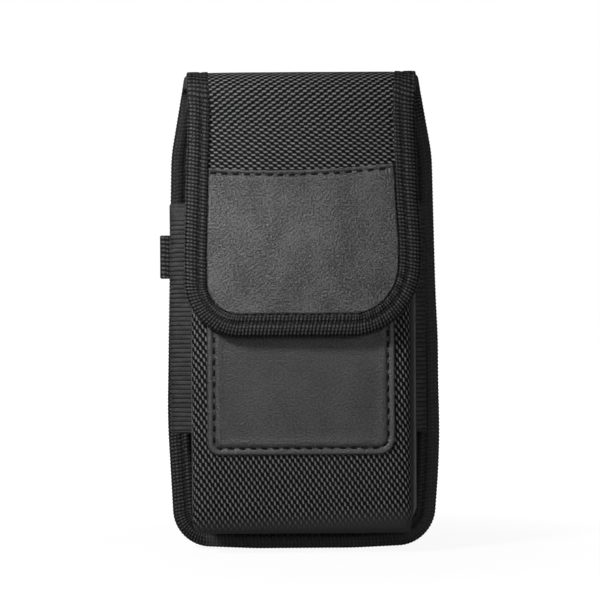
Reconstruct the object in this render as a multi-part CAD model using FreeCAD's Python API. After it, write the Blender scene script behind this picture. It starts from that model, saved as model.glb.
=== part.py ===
import FreeCAD, Part
import math
import os

# Belt pouch for a phone. One nylon laminate is the back and folds over the top to be the flap,
# a tape binds its whole edge, and a boxed pocket with elastic sides is sewn to its front.
# Millimetres: X runs across the pouch, Y from its front to the belt behind it, Z up.
# Places are taken from the middle of the panel's lower edge on its rear face, and every finished
# piece is then moved so that the origin is the middle of the belt channel.

# Back panel and flap, one folded laminate
panel_thickness = 3.0
panel_width = 100.0
panel_height = 173.5
bottom_flat_width = 36.0
bottom_rise = 1.3
bottom_bow_radius = 160.0
bottom_corner_radius = 14.0
bottom_inset = 2.4
widest_height = 48.0
side_bend_radius = 250.0
shoulder_inset = 1.9
shoulder_below_top = 28.5
shoulder_radius = 45.0
fold_inset = 7.7
neck_below_top = 8.0
neck_radius = 12.0
rear_fold_radius = 5.0
front_fold_radius = 8.0
flap_below_mouth = 49.5
flap_left_corner_radius = 20.0
flap_right_corner_radius = 25.0

# Tape that binds an edge, seen as a U across the edge
tape_thickness = 0.7
tape_nose = 1.6
tape_nose_bends = 6
edge_tape_cover = 8.2
mouth_tape_cover = 7.0
sewn_gap = 0.05

# Pocket
cavity_depth = 19.0
pocket_wall = 2.4
pocket_side_to_tape = 1.8
pocket_flare = 0.7
pocket_bottom_to_tape = 0.2
pocket_droop = 1.8
pocket_mouth_below_top = 45.5
pocket_front_corner_radius = 4.0
pocket_back_corner_ease = 4.0
pocket_edge_radius = 2.2
pocket_edge_bends = 3
pocket_return_depth = 4.6
mouth_tape_end_inset = 3.0

# Elastic sides, which bulge outwards past the pocket
elastic_thickness = 1.2
elastic_bottom_height = 43.7
elastic_below_mouth = 1.3
elastic_left_inside_edge = 1.4
elastic_right_inside_edge = 5.2
elastic_bulge_front = 13.0
elastic_bulge_back = 6.4
elastic_bend_radius = 3.0
elastic_turn_radius = 1.4
elastic_flange = 5.0
elastic_tongue_start = 1.0

# Leather patches
patch_thickness = 0.9
patch_to_tape = 0.2
flap_patch_below_top = 34.5
flap_patch_top_sag = 1.2
pocket_patch_side_inset = 5.6
pocket_patch_bottom_height = 36.0
pocket_patch_below_mouth = 10.0
pocket_patch_corner_radius = 4.2

# Hook and loop closure between the flap and the pocket
closure_thickness = 1.2
closure_gap = 0.3
closure_corner_radius = 2.0
closure_to_tape = 4.3
hook_pad_width = 50.0
hook_pad_height = 20.0
loop_pad_width = 54.0
loop_pad_height = 26.0

# Small tape loop at the left side, for a clip
side_loop_tape = 1.1
side_loop_inside = 0.9
side_loop_past_edge = 2.3
side_loop_bottom_height = 99.7
side_loop_width = 15.9

# Belt loop of webbing behind the panel
belt_loop_thickness = 1.6
belt_loop_width = 50.0
belt_loop_below_top = 55.5
belt_channel_height = 56.0
belt_channel_depth = 6.0
belt_loop_seam = 12.0
belt_loop_bend_radius = 2.4

# Places that follow from the sizes
tape_half = panel_thickness / 2 + sewn_gap + tape_thickness
panel_half = panel_width / 2
shoulder_half = panel_half - shoulder_inset
shoulder_height = panel_height - shoulder_below_top
fold_half = panel_half - fold_inset
neck_height = panel_height - neck_below_top
panel_edge_half = fold_half - tape_nose
roof_middle = panel_height - tape_half
pocket_back_half = panel_half - edge_tape_cover - pocket_side_to_tape
pocket_front_half = pocket_back_half - pocket_flare
pocket_bottom_height = edge_tape_cover + bottom_rise + pocket_bottom_to_tape
pocket_mouth_height = panel_height - pocket_mouth_below_top
pocket_back_corner_radius = bottom_corner_radius - edge_tape_cover + pocket_back_corner_ease
flap_bottom_height = pocket_mouth_height - flap_below_mouth
panel_front = -panel_thickness
pocket_inside = panel_front - cavity_depth
pocket_front = pocket_inside - pocket_wall
pocket_patch_front = pocket_front - patch_thickness
flap_back = pocket_patch_front - 2 * closure_thickness - closure_gap
flap_front = flap_back - panel_thickness
back_middle = -panel_thickness / 2
flap_middle = flap_back - panel_thickness / 2
closure_middle_height = flap_bottom_height + edge_tape_cover + closure_to_tape + hook_pad_height / 2
elastic_top_height = pocket_mouth_height - elastic_below_mouth
elastic_seat = shoulder_half - edge_tape_cover - sewn_gap
belt_loop_middle_height = panel_height - belt_loop_below_top
belt_channel_middle = FreeCAD.Vector(0, belt_channel_depth / 2, belt_loop_middle_height)


def vec(x, y, z):
    return FreeCAD.Vector(x, y, z)


def mirrored(points):
    """The same points on the other side of the pouch."""
    return [vec(-p.x, p.y, p.z) for p in points]


def smooth_path(points, radii):
    """Lines along points, joined by a tangent arc of one radius at each inner point."""
    segments = []
    here = points[0]
    for before, corner, after, radius in zip(points, points[1:], points[2:], radii):
        to_before = (before - corner).normalize()
        to_after = (after - corner).normalize()
        turn = math.pi - to_before.getAngle(to_after)
        reach = radius * math.tan(turn / 2)
        start = corner + to_before * reach
        end = corner + to_after * reach
        centre = corner + (to_before + to_after).normalize() * (radius / math.cos(turn / 2))
        axis = to_after.cross(to_before).normalize()
        segments.append({"start": here, "end": start})
        segments.append({"start": start, "end": end, "centre": centre, "axis": axis, "turn": turn})
        here = end
    segments.append({"start": here, "end": points[-1]})
    return [s for s in segments if (s["end"] - s["start"]).Length > 1e-6]


def path_edges(segments):
    """The path as edges."""
    edges = []
    for s in segments:
        if "centre" in s:
            chord_middle = (s["start"] + s["end"]) / 2
            radius = (s["start"] - s["centre"]).Length
            crown = s["centre"] + (chord_middle - s["centre"]).normalize() * radius
            edges.append(Part.Arc(s["start"], crown, s["end"]).toShape())
        else:
            edges.append(Part.LineSegment(s["start"], s["end"]).toShape())
    return edges


def sweep(section, segments):
    """The solid that a face leaves along a path: flat sides for each line, turned sides for each arc.
    The ends are closed by the face itself, and a path that comes back to its start has none."""
    face = section
    sides = []
    for s in segments:
        if "centre" in s:
            degrees = math.degrees(s["turn"])
            sides += face.OuterWire.revolve(s["centre"], s["axis"], degrees).Faces
            face = face.rotated(s["centre"], s["axis"], degrees)
        else:
            run = s["end"] - s["start"]
            sides += face.OuterWire.extrude(run).Faces
            face = face.translated(run)
    comes_back = (segments[-1]["end"] - segments[0]["start"]).Length < 1e-6
    shell = Part.makeShell(sides if comes_back else sides + [section, face])
    shell.sewShape()
    solid = Part.makeSolid(shell)
    if solid.Volume < 0:
        solid.reverse()
    return solid


def joined(pieces):
    return pieces[0].multiFuse(pieces[1:]).removeSplitter()


def flat_face(points, radii):
    """A flat face inside a closed path that starts and ends in the middle of a straight stretch."""
    return Part.Face(Part.Wire(path_edges(smooth_path(points, radii))))


def band_section(middle, across, along, thickness):
    """A rectangle about a point: its thickness lies on the first direction, its width on the second."""
    half = across * (thickness / 2)
    corners = [middle - half - along / 2, middle + half - along / 2]
    corners += [middle + half + along / 2, middle - half + along / 2]
    return Part.Face(Part.makePolygon(corners + corners[:1]))


def tape_section(edge, inwards, across, thickness, cover):
    """A U of tape round an edge: edge is the middle of the cloth's edge, inwards points into the cloth."""
    inner = thickness / 2 + sewn_gap
    outer = inner + tape_thickness
    leg = inwards * (cover - tape_nose)
    nose = edge - inwards * tape_nose
    shoulder = nose + inwards * outer
    bottom = edge - inwards * sewn_gap
    angles = [math.pi * i / tape_nose_bends for i in range(tape_nose_bends + 1)]
    outline = [
        shoulder + across * (outer * math.cos(a)) - inwards * (outer * math.sin(a)) for a in angles
    ]
    outline += [
        edge + leg - across * outer,
        edge + leg - across * inner,
        bottom - across * inner,
        bottom + across * inner,
        edge + leg + across * inner,
        edge + leg + across * outer,
    ]
    return Part.Face(Part.makePolygon(outline + outline[:1]))


def back_corners(inset, y):
    """Corners of the back panel's right side from the bottom up, drawn in from its outline."""
    corners = [
        vec(bottom_flat_width / 2, y, inset),
        vec(panel_half - bottom_inset - inset, y, bottom_rise + inset),
        vec(panel_half - inset, y, widest_height),
        vec(shoulder_half - inset, y, shoulder_height),
        vec(fold_half - inset, y, neck_height),
    ]
    radii = [
        bottom_bow_radius,
        bottom_corner_radius - inset,
        side_bend_radius,
        shoulder_radius,
        neck_radius,
    ]
    return corners, radii


def back_and_flap_panel():
    """Back plate, the fold over the top and the flap, of one laminate."""
    corners, radii = back_corners(tape_nose, 0)
    low = vec(0, 0, tape_nose)
    fold_start = roof_middle - rear_fold_radius
    fold_end = roof_middle - front_fold_radius
    top_right = vec(panel_edge_half, 0, fold_start)
    top_left = vec(-panel_edge_half, 0, fold_start)
    right = [low] + corners + [top_right]
    left = [top_left] + mirrored(corners[::-1]) + [low]
    back = flat_face(right + left, radii + [0, 0] + radii[::-1])
    back_plate = back.extrude(vec(0, panel_front, 0))

    flap_low = flap_bottom_height + tape_nose
    flap_outline = [
        vec(0, flap_back, fold_end),
        vec(panel_edge_half, flap_back, fold_end),
        vec(panel_edge_half, flap_back, flap_low),
        vec(-panel_edge_half, flap_back, flap_low),
        vec(-panel_edge_half, flap_back, fold_end),
        vec(0, flap_back, fold_end),
    ]
    right_radius = flap_right_corner_radius - tape_nose
    left_radius = flap_left_corner_radius - tape_nose
    flap = flat_face(flap_outline, [0, right_radius, left_radius, 0])
    flap_plate = flap.extrude(vec(0, -panel_thickness, 0))

    fold_points = [
        vec(0, back_middle, fold_start),
        vec(0, back_middle, roof_middle),
        vec(0, flap_middle, roof_middle),
        vec(0, flap_middle, fold_end),
    ]
    section = band_section(fold_points[0], vec(0, 1, 0), vec(2 * panel_edge_half, 0, 0), panel_thickness)
    fold = sweep(section, smooth_path(fold_points, [rear_fold_radius, front_fold_radius]))
    return joined([back_plate, fold, flap_plate])


def edge_binding():
    """One tape round the whole edge: up one side of the back, over the fold, round the flap and down again."""
    corners, bends = back_corners(tape_nose, back_middle)
    low = vec(0, back_middle, tape_nose)
    flap_low = flap_bottom_height + tape_nose
    right = corners + [
        vec(panel_edge_half, back_middle, roof_middle),
        vec(panel_edge_half, flap_middle, roof_middle),
        vec(panel_edge_half, flap_middle, flap_low),
    ]
    bends = bends + [rear_fold_radius, front_fold_radius]
    turns = bends + [flap_right_corner_radius - tape_nose, flap_left_corner_radius - tape_nose] + bends[::-1]
    section = tape_section(low, vec(0, 0, 1), vec(0, 1, 0), panel_thickness, edge_tape_cover)
    return sweep(section, smooth_path([low] + right + mirrored(right[::-1]) + [low], turns))


def pocket_form(half_width, y, bottom, top, corner_radius):
    """A closed outline across the pocket: straight sides and mouth, rounded lower corners."""
    points = [
        vec(0, y, top),
        vec(half_width, y, top),
        vec(half_width, y, bottom),
        vec(-half_width, y, bottom),
        vec(-half_width, y, top),
        vec(0, y, top),
    ]
    edges = path_edges(smooth_path(points, [0, corner_radius, corner_radius, 0]))
    return Part.Wire(edges)


def pocket_side_slope():
    """How far the pocket's side goes outwards for each millimetre towards the back."""
    return pocket_flare / (panel_front - pocket_front)


def pocket():
    """Front, side returns and bottom of the pocket, open at the mouth, the back and beside the elastics.
    Its bottom droops towards the front, over the tape."""
    back = panel_front - sewn_gap
    forms = []
    for bend in range(pocket_edge_bends + 1):
        angle = math.pi / 2 * bend / pocket_edge_bends
        inset = pocket_edge_radius * (1 - math.sin(angle))
        behind = pocket_edge_radius * (1 - math.cos(angle))
        forms.append(
            pocket_form(
                pocket_front_half + pocket_side_slope() * behind - inset,
                pocket_front + behind,
                pocket_bottom_height - pocket_droop + inset,
                pocket_mouth_height,
                pocket_front_corner_radius - inset,
            )
        )
    forms.append(
        pocket_form(
            pocket_back_half,
            back,
            pocket_bottom_height,
            pocket_mouth_height,
            pocket_back_corner_radius,
        )
    )
    outer = Part.makeLoft(forms, True, True)
    past = pocket_wall
    inner = Part.makeLoft(
        [
            pocket_form(
                pocket_front_half - pocket_wall + pocket_side_slope() * pocket_wall,
                pocket_inside,
                pocket_bottom_height - pocket_droop + pocket_wall,
                pocket_mouth_height + past,
                pocket_front_corner_radius - pocket_edge_radius / 2,
            ),
            pocket_form(
                pocket_back_half - pocket_wall,
                back + sewn_gap,
                pocket_bottom_height + pocket_wall,
                pocket_mouth_height + past,
                pocket_back_corner_radius - pocket_wall,
            ),
        ],
        True,
        True,
    )
    shell = outer.cut(inner)
    window_front = pocket_front + pocket_return_depth
    window = Part.makeBox(
        4 * pocket_back_half,
        back - window_front + past,
        pocket_mouth_height - elastic_bottom_height + past,
        vec(-2 * pocket_back_half, window_front, elastic_bottom_height),
    )
    return shell.cut(window).removeSplitter()


def pocket_mouth_binding():
    """Tape over the upper edge of the pocket's front."""
    half = pocket_front_half - pocket_edge_radius - mouth_tape_end_inset
    edge = vec(-half, pocket_inside - pocket_wall / 2, pocket_mouth_height)
    section = tape_section(edge, vec(0, 0, -1), vec(0, 1, 0), pocket_wall, mouth_tape_cover)
    return section.extrude(vec(2 * half, 0, 0))


def side_elastic(side, inside_edge):
    """A wide elastic from inside the pocket's return, out in a bulge and back to the panel."""
    slope = pocket_side_slope()
    along_return = vec(slope, 1, 0).normalize()
    outwards = vec(1, -slope, 0).normalize()
    start_y = pocket_inside + elastic_tongue_start
    wall_x = pocket_front_half + slope * (start_y - pocket_front) - pocket_wall
    start = vec(wall_x, start_y, 0) - outwards * (sewn_gap + elastic_thickness / 2)
    past_return = pocket_front + pocket_return_depth - start_y + elastic_turn_radius
    seat_y = panel_front - sewn_gap - elastic_thickness / 2
    seat_x = elastic_seat - elastic_thickness / 2
    bulge_x = panel_half - inside_edge - elastic_thickness / 2
    points = [
        start,
        start + along_return * past_return,
        vec(bulge_x, panel_front - elastic_bulge_front, 0),
        vec(bulge_x, panel_front - elastic_bulge_back, 0),
        vec(seat_x, panel_front - elastic_bulge_back, 0),
        vec(seat_x, seat_y, 0),
        vec(seat_x - elastic_flange, seat_y, 0),
    ]
    turns = [elastic_turn_radius, elastic_bend_radius, elastic_bend_radius]
    turns += [elastic_turn_radius, elastic_turn_radius]
    middle = (elastic_bottom_height + elastic_top_height) / 2
    height = vec(0, 0, elastic_top_height - elastic_bottom_height)
    points = [p + vec(0, 0, middle) for p in points]
    if side < 0:
        points = mirrored(points)
        outwards = vec(-outwards.x, outwards.y, 0)
    section = band_section(points[0], outwards, height, elastic_thickness)
    return sweep(section, smooth_path(points, turns))


def flap_patch():
    """Leather on the flap's front, inside the tape, with a slack upper edge."""
    inset = edge_tape_cover + patch_to_tape
    half = fold_half - inset
    low = flap_bottom_height + inset
    top = panel_height - flap_patch_below_top
    right_radius = flap_right_corner_radius - inset
    left_radius = flap_left_corner_radius - inset
    points = [
        vec(half, flap_front, top),
        vec(half, flap_front, low),
        vec(-half, flap_front, low),
        vec(-half, flap_front, top),
    ]
    edges = path_edges(smooth_path(points, [right_radius, left_radius]))
    slack = vec(0, flap_front, top - flap_patch_top_sag)
    edges.append(Part.Arc(points[-1], slack, points[0]).toShape())
    return Part.Face(Part.Wire(edges)).extrude(vec(0, -patch_thickness, 0))


def pocket_patch():
    """Leather on the pocket's front. Its upper edge lies under the flap."""
    half = pocket_front_half - pocket_patch_side_inset
    top = pocket_mouth_height - pocket_patch_below_mouth
    points = [
        vec(0, pocket_front, top),
        vec(half, pocket_front, top),
        vec(half, pocket_front, pocket_patch_bottom_height),
        vec(-half, pocket_front, pocket_patch_bottom_height),
        vec(-half, pocket_front, top),
        vec(0, pocket_front, top),
    ]
    radius = pocket_patch_corner_radius
    return flat_face(points, [0, radius, radius, 0]).extrude(vec(0, -patch_thickness, 0))


def closure_pad(width, height, y):
    """A pad with rounded corners, standing out to the front from y."""
    half, low, high = width / 2, closure_middle_height - height / 2, closure_middle_height + height / 2
    points = [
        vec(0, y, high),
        vec(half, y, high),
        vec(half, y, low),
        vec(-half, y, low),
        vec(-half, y, high),
        vec(0, y, high),
    ]
    return flat_face(points, [closure_corner_radius] * 4).extrude(vec(0, -closure_thickness, 0))


def side_loop():
    """Tape folded in half, sewn down over the edge tape and standing out past it."""
    seat = panel_front - sewn_gap - tape_thickness - sewn_gap - side_loop_tape / 2
    fold_radius = (side_loop_inside + side_loop_tape) / 2
    seam_end = -elastic_seat - elastic_turn_radius
    tip = -panel_half - side_loop_past_edge + side_loop_tape / 2
    middle = side_loop_bottom_height + side_loop_width / 2
    points = [
        vec(seam_end, seat, middle),
        vec(tip, seat, middle),
        vec(tip, seat - 2 * fold_radius, middle),
        vec(seam_end, seat - 2 * fold_radius, middle),
    ]
    section = band_section(points[0], vec(0, 1, 0), vec(0, 0, side_loop_width), side_loop_tape)
    return sweep(section, smooth_path(points, [fold_radius, fold_radius]))


def belt_loop():
    """Webbing sewn to the back at both ends and standing off between them."""
    seat = sewn_gap + belt_loop_thickness / 2
    stand = belt_channel_depth + belt_loop_thickness / 2
    half = belt_channel_height / 2 + belt_loop_thickness / 2
    low = belt_loop_middle_height - half
    high = belt_loop_middle_height + half
    points = [
        vec(0, seat, low - belt_loop_seam),
        vec(0, seat, low),
        vec(0, stand, low),
        vec(0, stand, high),
        vec(0, seat, high),
        vec(0, seat, high + belt_loop_seam),
    ]
    section = band_section(points[0], vec(0, 1, 0), vec(belt_loop_width, 0, 0), belt_loop_thickness)
    return sweep(section, smooth_path(points, [belt_loop_bend_radius] * 4))


pieces = {
    "back_and_flap_panel": back_and_flap_panel(),
    "edge_binding": edge_binding(),
    "pocket": pocket(),
    "pocket_mouth_binding": pocket_mouth_binding(),
    "side_elastic_left": side_elastic(-1, elastic_left_inside_edge),
    "side_elastic_right": side_elastic(1, elastic_right_inside_edge),
    "flap_patch": flap_patch(),
    "pocket_patch": pocket_patch(),
    "closure_loop_pad": closure_pad(loop_pad_width, loop_pad_height, pocket_patch_front),
    "closure_hook_pad": closure_pad(hook_pad_width, hook_pad_height, flap_back + closure_thickness),
    "side_loop": side_loop(),
    "belt_loop": belt_loop(),
}

os.makedirs("parts", exist_ok=True)
for name, shape in pieces.items():
    placed = shape.translated(-belt_channel_middle)
    box = placed.BoundBox
    print(name, len(placed.Solids), placed.isValid(), round(placed.Volume, 1), box)
    placed.exportStep(os.path.join("parts", name + ".step"))
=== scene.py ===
import math

import bpy
import numpy as np
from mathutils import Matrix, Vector, noise


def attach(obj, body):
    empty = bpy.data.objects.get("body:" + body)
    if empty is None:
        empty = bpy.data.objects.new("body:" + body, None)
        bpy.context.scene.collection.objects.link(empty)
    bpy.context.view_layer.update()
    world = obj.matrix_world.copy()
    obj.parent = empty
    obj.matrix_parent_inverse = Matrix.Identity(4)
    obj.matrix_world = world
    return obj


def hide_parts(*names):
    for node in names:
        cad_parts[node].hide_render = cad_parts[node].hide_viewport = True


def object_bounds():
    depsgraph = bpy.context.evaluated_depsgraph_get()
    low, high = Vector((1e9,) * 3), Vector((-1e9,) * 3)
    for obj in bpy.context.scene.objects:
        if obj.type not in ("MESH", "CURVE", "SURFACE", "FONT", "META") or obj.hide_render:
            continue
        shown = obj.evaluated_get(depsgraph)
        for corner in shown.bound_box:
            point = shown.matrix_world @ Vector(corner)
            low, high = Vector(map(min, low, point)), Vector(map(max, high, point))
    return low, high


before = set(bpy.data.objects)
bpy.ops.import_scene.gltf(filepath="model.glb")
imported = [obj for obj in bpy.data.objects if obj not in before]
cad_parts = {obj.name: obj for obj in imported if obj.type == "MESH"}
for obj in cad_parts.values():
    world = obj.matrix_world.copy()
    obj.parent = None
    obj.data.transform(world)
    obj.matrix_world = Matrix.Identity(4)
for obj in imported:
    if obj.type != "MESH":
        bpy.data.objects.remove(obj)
cad_low, cad_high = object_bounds()
scene = bpy.context.scene

# Belt pouch for a phone, in black cloth and leather.
# Sizes are in millimetres from the middle of the panel's lower edge on its rear face,
# X across, Y from the front to the belt, Z up. The belt channel's middle is the row's origin.
CHANNEL_MIDDLE = np.array([0.0, 3.0, 118.0])

# Cloth laminate that is the back, folds over the top and is the flap
LAMINATE = 3.0
PANEL_RISE = 0.6
FOLD_RISE = 0.8
END_MARGIN = 4.8
SIDE_MARGIN = 3.0
BACK_MIDDLE = -1.5
FLAP_MIDDLE = -29.5
ROOF_MIDDLE = 171.25
REAR_BEND = 5.0
FRONT_BEND = 8.0
FLAP_BOTTOM = 78.5

# Where the laminate's bends begin and end along the cloth
REAR_BEND_START = ROOF_MIDDLE - REAR_BEND
ROOF_START = REAR_BEND_START + REAR_BEND * math.pi / 2
REAR_CENTRE = BACK_MIDDLE - REAR_BEND
FRONT_CENTRE = FLAP_MIDDLE + FRONT_BEND
ROOF_END = ROOF_START + REAR_CENTRE - FRONT_CENTRE
FLAP_START = ROOF_END + FRONT_BEND * math.pi / 2
FLAP_TOP_HEIGHT = ROOF_MIDDLE - FRONT_BEND
CLOTH_END = FLAP_START + FLAP_TOP_HEIGHT - FLAP_BOTTOM

# Outline of the cut cloth, right half: across, and along the cloth from the bottom of the back
OUTLINE = [(0.0, 0.0), (18.0, 0.0), (47.6, 1.3), (50.1, 48.0), (48.1, 145.0), (44.4, 166.5)]
OUTLINE += [(41.9, 179.0), (40.4, 203.0), (42.1, 256.0), (42.1, CLOTH_END)]
OUTLINE_RADII = [160.0, 14.0, 250.0, 60.0, 30.0, 80.0, 80.0, 120.0]
FLAP_CORNERS = [25.0, 20.0]

# Binding tape
TAPE = 0.7
TAPE_SEAT = 0.05
TAPE_NOSE = 1.6
TAPE_COVER = 7.9
TAPE_SEAM = 5.0
TAPE_RIB = 1.33
TAPE_STEP = 0.13
TAPE_BEAD = 1.26
RIB_SLANT = 0.16
RIB_STEPS = 4

# Pocket
POCKET_BACK = -3.05
POCKET_FRONT = -24.4
POCKET_WALL = 2.4
POCKET_BOTTOM = 9.7
POCKET_MOUTH = 128.0
POCKET_FRONT_HALF = 39.3
POCKET_BACK_HALF = 40.0
SIDE_ROLL = (0.3, 1.9)
# Across, where the side strip's painted highlight line lies
STRIP_HIGHLIGHT = 42.9
CREASES = (-29.9, 28.8)
POCKET_CORNERS = (4.4, 1.7)
POCKET_LEAN = -0.7
POCKET_DROOP = 2.3
POCKET_EDGE = 2.2
POCKET_RISE = 0.7
BACK_CORNER = 9.3
POCKET_STEPS = (18.0, 15.0, 12.0, 9.0, 7.0, 6.0, 5.4, 5.0, 4.6, 4.3, 4.0, 3.7, 3.4, 3.1, 2.7)
MOUTH_TAPE_HALF = 34.1
WINDOW_BOTTOM = 43.7
WINDOW_FRONT = -19.8

# Nylon: where the flap's rows change their lean, and where the pocket's weave fades out
LEAN_TURN = (213.0, 224.0)
WEAVE_FADE = (8.8, 16.5)
POCKET_TILT = 0.04

# How much more blue than red every grey has
BLUE = 1.02

# Leather patches, and length, radius and flatness of their stitches
LEATHER = 0.9
FLAP_PATCH_TOP = 139.0
POCKET_PATCH_HALF = 33.7
POCKET_PATCH_LOW = 36.0
POCKET_PATCH_HIGH = 118.0
STITCH_PITCH = 4.0
PATCH_STITCH = (2.7, 0.48, 0.7)
PATCH_SEAM = 2.55
FLAP_SEAM = 1.65
STITCH_FRONT = POCKET_FRONT - 0.62

# Belt webbing, sewn to the back at both ends
WEBBING = 1.6
WEBBING_HALF = 25.0
WEBBING_MIDDLE = 118.0
WEBBING_REACH = 28.8
WEBBING_SEWN = 12.0
WEBBING_SEAT = 0.85
WEBBING_STAND = 6.8

# Elastic sides
ELASTIC = 1.2
ELASTIC_LOW = 43.7
ELASTIC_HIGH = 126.7
ELASTIC_RIB = 1.65
ELASTIC_REACH = (48.2, 44.8)
ELASTIC_START = -21.0
ELASTIC_SEAT = -3.65
ELASTIC_SEAT_HALF = 48.1 - 8.2 - 0.05

# Lower and upper edge of the side loop
SIDE_LOOP = (99.7, 115.6)

# Closure pads: half width, lower and upper edge, and rear face
PAD = 1.104
LOOP_PAD = (27.0, 88.0, 114.0, -25.3)
HOOK_PAD = (25.0, 91.0, 111.0, -26.8)


def smoothstep(low, high, x):
    t = np.clip((x - low) / (high - low), 0, 1)
    return t * t * (3 - 2 * t)


def bell(x, middle, width):
    return np.exp(-(((x - middle) / width) ** 2))


def ripple(points, size, seed):
    """Slow unevenness at points in millimetres, from -1 to 1."""
    values = [noise.noise(Vector(p)) for p in points.reshape(-1, 3) / size + seed]
    return np.array(values).reshape(points.shape[:-1])


def bends(q):
    """How far the cloth has turned at q, in its rear and in its front bend."""
    rear = np.clip((q - REAR_BEND_START) / REAR_BEND, 0, math.pi / 2)
    front = np.clip((q - ROOF_END) / FRONT_BEND, 0, math.pi / 2)
    return rear, front


def cloth_side(q):
    """Outward normal of the laminate at q along the cloth."""
    angle = sum(bends(q))
    return np.stack([np.zeros_like(q), np.cos(angle), np.sin(angle)], -1)


def flap_bow(x, q):
    """How far the flap's middle stands forward and its sides back."""
    return 1.7 * (0.5 - (x / 41.5) ** 2) * smoothstep(ROOF_END, FLAP_START + 22, q)


def edge_drift(x, q):
    """Sideways unevenness of the right edge."""
    low = 0.7 * bell(q, 30.0, 20.0) + 0.4 * bell(q, 76.0, 14.0)
    return (0.5 * bell(q, cloth_z(112.0), 12.0) + low) * smoothstep(12, 30, x)


def cloth_point(x, q, out):
    """The point at x across and q along the cloth, moved outwards by out."""
    x, q, out = np.broadcast_arrays(x, q, out)
    out = out + flap_bow(x, q)
    x = x + edge_drift(x, q)
    rear, front = bends(q)
    roof = np.clip(q, ROOF_START, ROOF_END) - ROOF_START
    down = np.clip(q, FLAP_START, None) - FLAP_START
    y = REAR_CENTRE + REAR_BEND * np.cos(rear) - roof - FRONT_BEND * np.sin(front)
    z = np.where(q < ROOF_START, REAR_BEND_START + REAR_BEND * np.sin(rear), ROOF_MIDDLE)
    z = np.where(q < REAR_BEND_START, q, z)
    z = np.where(q > ROOF_END, FLAP_TOP_HEIGHT + FRONT_BEND * np.cos(front) - down, z)
    return np.stack([x, y, z], -1) + cloth_side(q) * out[..., None]


def fold_share(q):
    """1 over the top of the pouch, falling to 0 down the back and down the flap."""
    down = smoothstep(ROOF_END + 6, FLAP_START + 10, q)
    return smoothstep(REAR_BEND_START - 8, ROOF_START, q) * (1 - down)


def cloth_z(z):
    """How far along the cloth the flap reaches height z."""
    return FLAP_START + FLAP_TOP_HEIGHT - z


def unit(vectors):
    return vectors / np.linalg.norm(vectors, axis=1)[:, None]


def run_lengths(points):
    """How far along a line each of its points is."""
    return np.concatenate([[0], np.cumsum(np.linalg.norm(np.diff(points, axis=0), axis=1))])


def edge_round(inside, width):
    """Share of its full height that a sheet has at inside from an edge that is round over width."""
    return np.sqrt(np.clip(1 - (1 - np.clip(inside / width, 0, 1)) ** 2, 0, 1))


def rounded_path(points, radii, step):
    """Evenly spaced points along straight runs joined by arcs."""
    points = [np.array(p, float) for p in points]
    dense = [points[0]]
    for before, corner, after, radius in zip(points, points[1:], points[2:], radii):
        to_before, to_after = ((p - corner) / np.linalg.norm(p - corner) for p in (before, after))
        turn = math.pi - math.acos(np.clip(to_before @ to_after, -1, 1))
        reach = radius * math.tan(turn / 2)
        middle = to_before + to_after
        centre = corner + middle / np.linalg.norm(middle) * radius / math.cos(turn / 2)
        start = corner + to_before * reach - centre
        side = -to_before - (-to_before @ start) * start / radius**2
        side = side / np.linalg.norm(side) * radius
        for part in np.linspace(0, turn, 24):
            dense.append(centre + start * math.cos(part) + side * math.sin(part))
    dense = np.array([*dense, points[-1]])
    lengths = run_lengths(dense)
    count = max(2, round(lengths[-1] / step))
    even = np.linspace(0, lengths[-1], count + 1)
    return np.stack([np.interp(even, lengths, axis) for axis in dense.T], -1)


def spaced(low, high, fine, coarse, margin):
    """Positions from low to high, close together near both ends."""
    edge = np.arange(0, margin, fine)
    count = max(2, round((high - low - 2 * margin) / coarse))
    middle = np.linspace(low + margin, high - margin, count)
    return np.concatenate([low + edge, middle, high - edge[::-1]])


def placed(name, data):
    made = bpy.data.objects.new(name, data)
    scene.collection.objects.link(made)
    return made


def new_object(name, points, faces, uvs):
    """A mesh object from points in millimetres, with a cloth coordinate for each face corner."""
    mesh = bpy.data.meshes.new(name)
    mesh.from_pydata(((points - CHANNEL_MIDDLE) / 1000).tolist(), [], faces.tolist())
    layer = mesh.uv_layers.new(name="cloth")
    layer.data.foreach_set("uv", np.asarray(uvs, np.float32).ravel())
    mesh.shade_smooth()
    return placed(name, mesh)


def numbered(rows, columns):
    return np.arange(rows * columns).reshape(rows, columns)


def quads(index, facing=1):
    """Faces between neighbours in a grid of point numbers, turned over where facing is -1."""
    corners = [index[:-1, :-1], index[:-1, 1:], index[1:, 1:], index[1:, :-1]]
    return np.stack([corners[k * facing] for k in range(4)], -1).reshape(-1, 4)


def rim_faces(index):
    """Faces that join the rim of a grid to that of a second grid, numbered after it."""
    ring = np.concatenate([index[0, :-1], index[:-1, -1], index[-1, :0:-1], index[:0:-1, 0]])
    after = np.roll(ring, -1)
    return np.stack([after, ring, ring + index.size, after + index.size], -1)


def ring_faces(here, there):
    """Faces between closed rings of point numbers."""
    return np.stack([here, np.roll(here, -1, -1), np.roll(there, -1, -1), there], -1).reshape(-1, 4)


def shell(name, outer, inner, uv):
    """A closed sheet between two grids of points, the outer one's faces first."""
    index = numbered(*outer.shape[:2])
    faces = np.concatenate([quads(index), quads(index + index.size, -1), rim_faces(index)])
    points = np.concatenate([outer.reshape(-1, 3), inner.reshape(-1, 3)])
    flat = np.concatenate([uv.reshape(-1, 2)] * 2)
    return new_object(name, points, faces, flat[faces])


def tube(name, points, along, across):
    """A closed section carried along a closed path: rows follow the path, columns the section."""
    index = numbered(*points.shape[:2])
    u = [across[:-1], across[1:], across[1:], across[:-1]]
    v = [along[:-1], along[:-1], along[1:], along[1:]]
    uv = np.stack([np.stack(np.meshgrid(*corner), -1) for corner in zip(u, v)], 2)
    faces = ring_faces(index, np.roll(index, -1, 0))
    return new_object(name, points.reshape(-1, 3), faces, uv.reshape(-1, 2))


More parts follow.
